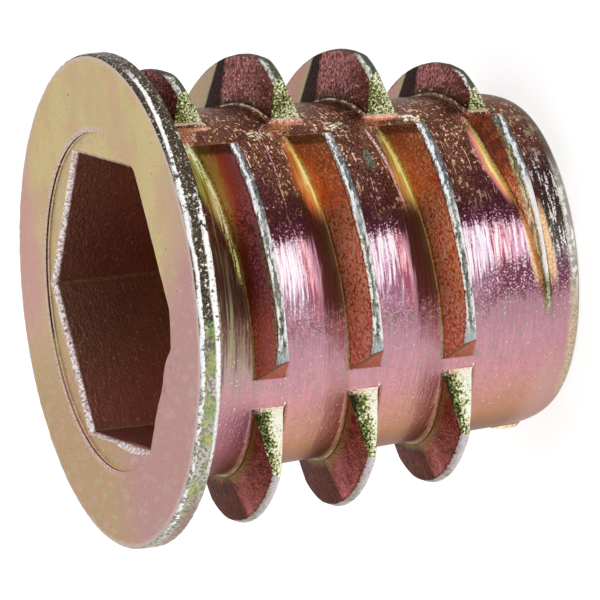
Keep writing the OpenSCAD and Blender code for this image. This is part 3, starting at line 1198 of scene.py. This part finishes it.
def rim_finish():
    """The flange's rim: white painted highlights along its edges and darkly pitted between them."""
    p = Paint("zinc_rim")
    grain = p.noise(10, 3, 0.65)
    blot = p.noise(3.5, 3, 0.6, 3)
    deep = insert_l - p.z + p.streaks(1.5, 3, 2, 4).sway(0.16) + grain.sway(0.12)
    pitted = p.ramp(grain * 0.75 + blot * 0.25, 0.3, 0.7, {
        0.38: 0xFAF6EC, 0.42: 0x968E80, 0.47: 0x544C3E, 0.54: 0x342A20, 0.6: 0x685C4C, 0.66: 0xE2D6C6,
    })
    under = p.side.step(96, 112)
    green = p.side.band(97, 150, 4) * deep.band(0.16, 0.52, 0.1) * p.noise(1.6, 2, 0.5, 5).step(0.42, 0.52)
    pink = p.side.band(146, 172, 6) * deep.step(0.2, 0.4)
    # shine is the white of the painted highlights
    shine = p.two(0xFFFFFF, 0xD6CEC8, grain, 0.54, 0.62)
    crisp = blot + grain.sway(0.5)
    # past about 110 degrees round, the painted highlights are narrower and duller
    worn = p.side.step(98, 124)
    upper = (deep - (0.27 - p.side.step(30, 66) * 0.13)).band(-0.07, 0.07, 0.02)
    lower = (deep - worn * 0.08).band(0.46, 0.68, 0.03) * (1 - worn * 0.3)
    edge = deep.band(0.04, 0.15, 0.02)
    colour = p.layers(pitted, [
        (0xCEC8BA, under * grain.step(0.6, 0.48) * 0.85),
        (0x969282, under * grain.step(0.5, 0.6) * 0.7),
        (p.two(0x86A062, 0xB0B268, blot, 0.48, 0.58), green * grain.step(0.62, 0.52) * 0.8),
        (0xA07670, pink * grain.step(0.6, 0.5) * 0.75),
        (shine, upper * p.side.band(26, 74, 6) * crisp.step(0.64, 0.58)),
        (shine, lower * p.side.band(67, 136, 7) * (p.side.step(84, 66) * 0.2 + crisp).step(0.66, 0.6)),
        (shine, edge * p.side.band(62, 160, 8) * (crisp + worn * 0.14).step(0.68, 0.6)),
    ])
    return p.done(colour, 0.3 + grain.sway(0.3), grain, 0.06)


def socket_finish():
    """The walls and floor of the hex socket, painted lighter and redder towards -x, with painted highlight
    lines on its corners and painted glints, and its worn mouth, pale partly from painted highlight.
    """
    p = Paint("zinc_socket")
    grain = p.noise(12, 3, 0.6)
    drawn = p.noise((1.5, 4, 12), 3, 0.6, 1)
    cloud = p.noise(0.7, 2, 0.5, 2)
    colour = p.two(0xAE826E, 0xA68A6C, p.y + cloud.sway(3), 0.5, -2)
    # lighter and redder towards -x: painted light
    colour = p.mix(colour, 0xC48278, (p.x + cloud.sway(2)).step(-0.5, -3) * 0.8)
    colour = p.dim(colour, 1 + drawn.sway(0.9) + cloud.sway(0.3))
    # painted highlight lines along the corners; the pale lip is partly painted highlight on the rounded
    # mouth and partly wear; the pale specks are painted glints
    place = p.math("FRACT", (p.theta + (360 - hex_turn)) / 60)
    corner = abs(place - 0.5).step(0.486, 0.495) * p.r.step(4.55, 4.65)
    lip = (p.z + grain.sway(0.08)).step(recess_z - 0.23, recess_z - 0.17)
    pale = p.ramp(grain, 0.3, 0.7, {
        0.36: 0xFFFFFF, 0.48: 0xECDCDA, 0.56: 0xC4ACA8, 0.66: 0x826A62,
    })
    colour = p.layers(colour, [
        (0xF0C8B0, p.noise(10, 1, 0.5, 6).step(0.66, 0.7) * 0.7),
        (0xCEC48C, corner * grain.step(0.58, 0.46) * 0.7),
        (pale, lip),
    ])
    return p.done(colour, 0.38 + grain.sway(0.2), grain + drawn * 0.5, 0.02)


def bore_finish():
    """The inner thread, with the brightest passivation, out of the wear."""
    p = Paint("zinc_bore")
    grain = p.noise(12, 3, 0.6)
    cloud = p.noise(0.8, 2, 0.5, 2)
    colour = p.two(0xCCA460, 0xBA7868, cloud, 0.4, 0.6)
    colour = p.dim(colour, 1 + grain.sway(0.4))
    return p.done(colour, 0.34, grain, 0.012)


def pilot_finish():
    """The annular end that enters the wood first."""
    p = Paint("zinc_pilot")
    grain = p.noise(13, 3, 0.6)
    cloud = p.noise(0.7, 3, 0.55, 3)
    flat_r = body_end_r - end_round
    colour = p.two(0xC8A87E, 0xC48E8C, cloud, 0.4, 0.62)
    colour = p.mix(colour, 0xBAB4A8, p.r.step(flat_r - 0.1, flat_r + 0.05))
    colour = p.dim(colour, 1 + grain.sway(0.35))
    return p.done(colour, 0.4 + grain.sway(0.2), grain, 0.015)


def finishes():
    """The materials, in the order of the surfaces."""
    makers = {
        OUTSIDE: outside_finish, ENDS: ends_finish, FACE: face_finish, RIM: rim_finish,
        SOCKET: socket_finish, BORE: bore_finish, PILOT: pilot_finish,
    }
    return [makers[surface]() for surface in sorted(makers)]


# ---- stage, light and camera
def camera():
    """The photograph's long lens, from in front of the slide at -91 degrees and 21 degrees up."""
    lens = bpy.data.cameras.new("camera")
    lens.sensor_width = 36
    lens.lens = 900
    lens.clip_start = 0.01
    lens.clip_end = 10
    eye = linked(bpy.data.objects.new("camera", lens))
    right = Vector((-0.112052, -0.359657, -0.926332))
    up = Vector((0.993701, -0.039330, -0.104931))
    back = Vector((0.001307, -0.932255, 0.361799))
    turn = Matrix((right, up, back)).transposed()
    eye.matrix_world = Matrix.Translation(Vector((0.0, -408.4304, 165.5423)) * MM) @ turn.to_4x4()
    bpy.context.scene.camera = eye


def ground():
    """A floor that the camera and reflections see as white, apart from the shadow on it."""
    half, glow = 6, 0.72
    mesh = bpy.data.meshes.new("floor")
    corners = [(-half, -half, 0), (half, -half, 0), (half, half, 0), (-half, half, 0)]
    mesh.from_pydata(corners, [], [(0, 1, 2, 3)])
    look = Material("floor")
    seen = look.add("LightPath", {}, "Is Camera Ray")
    for kind in ("Is Glossy Ray", "Is Transmission Ray"):
        seen = look.math("MAXIMUM", seen, look.add("LightPath", {}, kind))
    mesh.materials.append(look.shade({
        "Base Color": (0.5, 0.5, 0.5, 1), "Roughness": 0.9, "Specular IOR Level": 0.0,
        "Emission Color": (1, 1, 1, 1), "Emission Strength": seen * glow,
    }))
    plane = linked(bpy.data.objects.new("floor", mesh))


def world():
    sky = bpy.data.worlds.new("world")
    bpy.context.scene.world = sky
    sky.use_nodes = True
    light = sky.node_tree.nodes["Background"].inputs
    light["Color"].default_value = (1, 1, 1, 1)
    light["Strength"].default_value = 0.9


bpy.context.scene.view_settings.view_transform = "Standard"
camera()
ground()
world()
piece = casting()
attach(piece, "root")
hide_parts(NODE)
